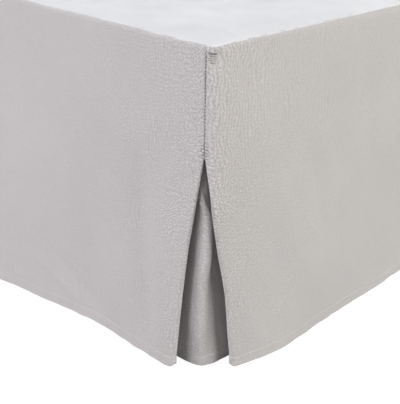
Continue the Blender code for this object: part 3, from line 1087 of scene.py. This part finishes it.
def seam_threads(side, dark_thread_painted_shade):
    """The stitches along a corner seam, and the bar tacks at its top and at its lower end. Their
    thread is darker than the hem thread: partly its own colour, partly painted shade of the seam's
    groove and of the creases under the upper tack.
    """
    seeds = (11, 12) if side > 0 else (21, 22)
    foot, drop = Drop(side, True, None, seeds[0], []), Drop(side, False, None, seeds[1], [])

    def bar(level, on_foot, on_side, sink=0.0):
        """A thread from the foot drop across the seam to the side drop, sinking as it goes."""
        points, outs = [], []
        for part, places in ((foot, on_foot), (drop, on_side)):
            if len(places):
                made = part.outer(places, level - np.linspace(0, sink, len(places)))
                points += list(made[0])
                outs += list(made[1])
        return points, outs

    levels = np.arange(SEAM_END + 0.016, DROP - 0.010, STITCH)
    seam = [bar(h, [0.0016], [0.0016]) for h in levels]
    levels = np.arange(SEAM_END - 0.0010, SEAM_END + 0.0140, 0.0033)
    lower = [bar(h, [0.0046, 0.0030, 0.0014], [0.0014, 0.0030, 0.0046]) for h in levels]
    # the upper tack's dark threads also stand for the shaded creases the tack draws in: painted
    # shade
    # height of a thread of the upper tack below the top, its start and its end from the seam
    tack = [
        (0.0055, 0.0030, 0.0130),
        (0.0064, 0.0024, 0.0126),
        (0.0088, 0.0044, 0.0124),
        (0.0110, 0.0028, 0.0128),
        (0.0131, 0.0024, 0.0130),
        (0.0152, 0.0046, 0.0112),
    ]
    upper = [
        bar(DROP - drop_by, [], np.linspace(start, end, 6), 0.0013) for drop_by, start, end in tack
    ]
    word = "right" if side > 0 else "left"
    return [
        thread_object(f"corner_{word}_seam_stitches", seam, 0.00024, dark_thread_painted_shade),
        thread_object(f"corner_{word}_tacks", lower + upper, 0.00042, dark_thread_painted_shade),
    ]


# ---- The base -------------------------------------------------------------------------------
BASE_LOW, BASE_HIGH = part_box("box_spring")
WELT = 0.016               # seam of the piping from the base's top or bottom
WELT_RADIUS = 0.0026
OUTLINE_POINTS = 420       # round the base
GLIDE = 0.004              # height of the glide under a leg
LEG_EDGE = 0.003           # rounding of a leg's foot


def base_outline(inset, radius, steps=10):
    """Points round the base, corners rounded, with the distance round it."""
    x_half = BASE_HIGH.x - inset
    low, high = BASE_LOW.y + inset, BASE_HIGH.y - inset
    corners = [(x_half, low, -90), (x_half, high, 0), (-x_half, high, 90), (-x_half, low, 180)]
    points = []
    for x, y, start in corners:
        centre_x = x - math.copysign(radius, x)
        centre_y = y + (radius if y == low else -radius)
        for i in range(steps + 1):
            turn = math.radians(start + 90 * i / steps)
            points.append((centre_x + radius * math.cos(turn), centre_y + radius * math.sin(turn)))
    points = np.array(points + points[:1])
    lengths = np.linalg.norm(np.diff(points, axis=0), axis=1)
    along = np.concatenate([[0.0], np.cumsum(lengths)])
    places = np.linspace(0, along[-1], OUTLINE_POINTS, endpoint=False)
    return np.stack([np.interp(places, along, points[:, i]) for i in range(2)], axis=-1), places


def base_cover(ticking):
    """The upholstered sides and top of the base, drawn in at its piped edges."""
    edge, corner = 0.010, 0.040
    low, high = BASE_LOW.z, BASE_HIGH.z
    low_welt, high_welt = low + WELT, high - WELT
    middle = np.array([0.0, (BASE_LOW.y + BASE_HIGH.y) / 2])
    # inset, height: up the outside from the bottom edge to the top
    profile = [(edge, low), (edge * 0.35, low + edge * 0.25), (0.0012, low + 0.007)]
    profile += [(0.0030, low_welt - 0.002), (0.0034, low_welt), (0.0028, low_welt + 0.002)]
    for i in range(1, 22):
        t = i / 22
        z = low_welt + 0.002 + (high_welt - low_welt - 0.004) * t
        profile.append((0.0026 - 0.0024 * math.sin(math.pi * t) ** 0.5, z))
    profile += [(0.0028, high_welt - 0.002), (0.0034, high_welt), (0.0030, high_welt + 0.002)]
    profile += [(0.0012, high - 0.007), (edge * 0.35, high - edge * 0.25), (edge, high)]
    profile += [(0.014, high), (0.030, high), (0.060, high), (0.120, high)]
    bm = bmesh.new()
    layer = bm.loops.layers.uv.new("cloth")
    rings = []
    climb = 0.0
    last = profile[0]
    for inset, z in profile:
        points, places = base_outline(inset, max(corner - inset, 0.004))
        climb += math.hypot(inset - last[0], z - last[1])
        last = (inset, z)
        near_welt = bump_at(z, low_welt, 0.012) + bump_at(z, high_welt, 0.012)
        pucker = waves(places, z, 51, 0.028, 0.2) * 0.0007 * near_welt
        inward = middle - points
        inward /= np.linalg.norm(inward, axis=1)[:, None]
        points = points + inward * np.clip(pucker + 0.0007, 0.0, None)[:, None]
        ring = [bm.verts.new((x, y, z)) for x, y in points]
        rings.append((ring, places, climb))
    for (lower, places, v0), (upper, _, v1) in zip(rings, rings[1:]):
        for i in range(OUTLINE_POINTS):
            j = (i + 1) % OUTLINE_POINTS
            u0, u1 = places[i], places[i] + places[1]
            corners = (lower[i], lower[j], upper[j], upper[i])
            face_with_place(bm, layer, corners, ((u0, v0), (u1, v0), (u1, v1), (u0, v1)))
    bm.faces.new(rings[-1][0])
    bm.faces.new(rings[0][0][::-1])
    return finished(bm, "box_spring_cover", ticking, sharp=50)


def piping(name, z, made_of, sides=10):
    """A covered cord round the base in the seam at height z."""
    points, places = base_outline(0.0022, 0.038)
    ahead = np.roll(points, -1, axis=0) - np.roll(points, 1, axis=0)
    ahead /= np.linalg.norm(ahead, axis=1)[:, None]
    outward = np.stack([ahead[:, 1], -ahead[:, 0]], axis=-1)
    bm = bmesh.new()
    layer = bm.loops.layers.uv.new("cloth")
    rings = []
    for point, out in zip(points, outward):
        ring = []
        for k in range(sides):
            turn = 2 * math.pi * k / sides
            x, y = point + out * WELT_RADIUS * math.cos(turn)
            ring.append(bm.verts.new((x, y, z + WELT_RADIUS * math.sin(turn))))
        rings.append(ring)
    for i in range(OUTLINE_POINTS):
        ring, following = rings[i], rings[(i + 1) % OUTLINE_POINTS]
        u0, u1 = places[i], places[i] + places[1]
        for k in range(sides):
            m = (k + 1) % sides
            v0, v1 = k * WELT_RADIUS * 0.63, (k + 1) * WELT_RADIUS * 0.63
            corners = (ring[k], following[k], following[m], ring[m])
            face_with_place(bm, layer, corners, ((u0, v0), (u1, v0), (u1, v1), (u0, v1)))
    return finished(bm, name, made_of)


def dust_cover(made_of):
    """The thin cloth stapled under the base, sagging a little between its fixings."""
    x = np.linspace(-BASE_HIGH.x + 0.022, BASE_HIGH.x - 0.022, 61)
    y = np.linspace(BASE_LOW.y + 0.022, BASE_HIGH.y - 0.022, 81)
    gx, gy = np.meshgrid(x, y)
    from_edge = np.minimum(x[-1] - np.abs(gx), np.minimum(gy - y[0], y[-1] - gy))
    sag = 0.004 * ease(from_edge / 0.25)
    sag = sag + 0.0008 * waves(gx, gy, 61, 0.12, 0.15) * ease(from_edge / 0.03)
    z = BASE_LOW.z - 0.0008 - sag
    flat = np.stack([gx, gy], axis=-1)
    grid = Grid(np.stack([gx, gy, z], axis=-1), flat, np.full(gx.shape, 0.0006))
    return sheet_object("dust_cover", grid, made_of)


def staples(made_of):
    """Staples round the dust cover."""
    inset = 0.028
    x_half = BASE_HIGH.x - inset
    low, high = BASE_LOW.y + inset, BASE_HIGH.y - inset
    z = BASE_LOW.z - 0.0014
    down = ((0, 0, -1), (0, 0, -1))
    stitches = []
    for x in np.arange(-x_half + 0.03, x_half, 0.06):
        for y in (low, high):
            stitches.append((((x - 0.005, y, z), (x + 0.005, y, z)), down))
    for y in np.arange(low + 0.03, high, 0.06):
        for x in (-x_half, x_half):
            stitches.append((((x, y - 0.005, z), (x, y + 0.005, z)), down))
    return thread_object("staples", stitches, 0.0004, made_of)


def lathe(name, profile, x, y, made_of, sides=40, capped=True):
    """A turned solid about an upright axis from (radius, height) pairs, lowest first."""
    bm = bmesh.new()
    turns = [2 * math.pi * k / sides for k in range(sides)]
    rings = []
    for radius, z in profile:
        ring = [(x + radius * math.cos(turn), y + radius * math.sin(turn), z) for turn in turns]
        rings.append([bm.verts.new(point) for point in ring])
    loft(bm, rings, capped)
    return finished(bm, name, made_of, outward=False, sharp=35)


def legs(wood, glide):
    for number in range(1, 7):
        node = f"leg_{number}"
        low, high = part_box(node)
        x, y = (low.x + high.x) / 2, (low.y + high.y) / 2
        top_radius = (high.x - low.x) / 2
        foot_radius = top_radius * 0.7
        top = high.z
        profile = [(foot_radius - LEG_EDGE, GLIDE)]
        for i in range(5):
            turn = math.radians(90 * i / 4)
            r = foot_radius - LEG_EDGE * (1 - math.sin(turn))
            profile.append((r, GLIDE + LEG_EDGE * (1 - math.cos(turn))))
        straight = GLIDE + LEG_EDGE
        for i in range(1, 13):
            t = i / 12
            r = foot_radius + (top_radius - foot_radius) * t
            profile.append((r, straight + (top - 0.0045 - straight) * t))
        profile += [(top_radius - 0.0005, top - 0.0012), (top_radius - 0.0018, top)]
        piece = lathe(f"{node}_wood", profile, x, y, wood)
        pad_profile = [
            (foot_radius - 0.0062, 0.0),
            (foot_radius - 0.0050, 0.0008),
            (foot_radius - 0.0048, 0.0030),
            (foot_radius - 0.0055, GLIDE),
        ]
        pad = lathe(f"{node}_glide", pad_profile, x, y, glide)
        for made in (piece, pad):
            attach(made, "root")
        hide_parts(node)


def base(ticking, dust, metal):
    cover = base_cover(ticking)
    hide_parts("box_spring")
    trims = [
        piping("piping_top", BASE_HIGH.z - WELT, ticking),
        piping("piping_bottom", BASE_LOW.z + WELT, ticking),
        staples(metal),
    ]
    under = dust_cover(dust)
    for made in (cover, under, *trims):
        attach(made, "root")


# ---- Camera, floor and light ----------------------------------------------------------------
def camera():
    """The photograph's view: close above the right-hand foot corner, looking across the bed."""
    corner = Vector((HALF_WIDTH, FOOT_Y, HEM_Z))
    place = corner + Vector((0.502, -0.517, 0.557))
    yaw, pitch, roll = (math.radians(angle) for angle in (44.94, 25.17, 0.71))
    ahead = Vector(
        (-math.sin(yaw) * math.cos(pitch), math.cos(yaw) * math.cos(pitch), -math.sin(pitch))
    )
    right = Vector((math.cos(yaw), math.sin(yaw), 0))
    up = right.cross(ahead)
    tilted_right = right * math.cos(roll) + up * math.sin(roll)
    tilted_up = up * math.cos(roll) - right * math.sin(roll)
    data = bpy.data.cameras.new("camera")
    data.lens = 67.80
    data.sensor_width = 36
    data.clip_start = 0.01
    obj = in_scene("camera", data)
    axes = Matrix((tilted_right, tilted_up, -ahead)).transposed().to_4x4()
    obj.matrix_world = Matrix.Translation(place) @ axes
    bpy.context.scene.camera = obj


def soft_light(name, turn, rise, distance, size, power, colour):
    """A light aimed at the corner, turned away from the camera's side of it, in degrees."""
    target = Vector((HALF_WIDTH, FOOT_Y, 0.2))
    turn, rise = math.radians(turn - 45.8), math.radians(rise)
    level = distance * math.cos(rise)
    arm = Vector((level * math.cos(turn), level * math.sin(turn), distance * math.sin(rise)))
    data = bpy.data.lights.new(name, "AREA")
    data.shape = "RECTANGLE"
    data.size, data.size_y = size
    data.energy = power
    data.color = colour
    obj = in_scene(name, data)
    obj.location = target + arm
    obj.rotation_euler = (-arm).to_track_quat("-Z", "Y").to_euler()


def backdrop():
    """A pale floor whose far edge turns up all round. It takes light but gives none back."""
    shader = Shader("floor", 0.9)
    tone = shader.centred(shader.object_place(), 3.0) * 0.2 + 0.5
    pale = shader.mix(tone, (0.20, 0.20, 0.20, 1.0), (0.22, 0.22, 0.22, 1.0))
    shader.surface.inputs["Emission Color"].default_value = (1, 1, 1, 1)
    shader.surface.inputs["Emission Strength"].default_value = 0.95
    shader.surface.inputs["Specular IOR Level"].default_value = 0.0
    made_of = shader.finish(pale)
    flat_radius, turn_radius, sides = 18.0, 8.0, 96
    profile = [(0.02, 0.0), (3.0, 0.0), (flat_radius, 0.0)]
    for i in range(1, 13):
        turn = math.radians(90 * i / 12)
        across = flat_radius + turn_radius * math.sin(turn)
        profile.append((across, turn_radius * (1 - math.cos(turn))))
    profile.append((flat_radius + turn_radius, 30.0))
    floor = lathe("floor", profile, 0.0, 0.0, made_of, sides, capped=False)
    floor.visible_diffuse = False
    floor.visible_glossy = False
    floor.visible_shadow = False


def studio():
    backdrop()
    world = bpy.data.worlds.new("studio")
    world.use_nodes = True
    background = world.node_tree.nodes["Background"]
    background.inputs["Color"].default_value = (1.0, 1.0, 1.0, 1.0)
    background.inputs["Strength"].default_value = 0.02
    bpy.context.scene.world = world
    bpy.context.scene.view_settings.view_transform = "Standard"

    soft_light("left", -63, 15, 5.4, (5.8, 2.2), 372, (0.985, 0.965, 1.0))
    soft_light("right", 65, 15, 5.4, (5.4, 2.2), 372, (1.0, 0.985, 0.955))
    soft_light("front", 0, 15, 5.4, (5.6, 2.2), 62, (1.0, 0.985, 0.985))
    soft_light("back", 180, 25, 6.6, (4.0, 3.0), 200, (1.0, 1.0, 1.0))
    soft_light("top", 180, 70, 3.6, (3.0, 3.0), 55, (0.97, 0.98, 1.0))


def main():
    grey = woven_cloth(
        "grey_woven",
        (0.355, 0.340, 0.335, 1.0),
        (0.585, 0.568, 0.562, 1.0),
        thread=0.0009,
        beat_size=(0.0047, 0.0037),
        grain=(0.075, 0.27),
        patchy=(0.06, 7.0),
    )
    white = woven_cloth(
        "white_percale",
        (0.66, 0.67, 0.69, 1.0),
        (0.76, 0.77, 0.79, 1.0),
        thread=0.0006,
        beat_size=(0.0040, 0.0040),
        grain=(0.06, 0.0),
        patchy=(0.5, 13.0),
    )
    grey_thread = sewing_thread("grey_thread", (0.52, 0.50, 0.50, 1.0))
    white_thread = sewing_thread("white_thread", (0.75, 0.75, 0.77, 1.0))
    # seam and tack thread, darker than the hem thread: partly its own colour, partly painted shade
    # of the seam's groove and the upper tack's creases
    dark_thread_painted_shade = sewing_thread("dark_thread_painted_shade", (0.22, 0.21, 0.21, 1.0))
    skirt(grey, white, grey_thread, white_thread, dark_thread_painted_shade)
    base(
        striped_ticking("ticking_stripe"),
        dust_cloth("dust_cloth"),
        dull_plastic("staple_metal", (0.35, 0.35, 0.36, 1.0)),
    )
    legs(turned_wood("leg_stain"), dull_plastic("leg_glide", (0.06, 0.06, 0.06, 1.0)))
    camera()
    studio()


main()
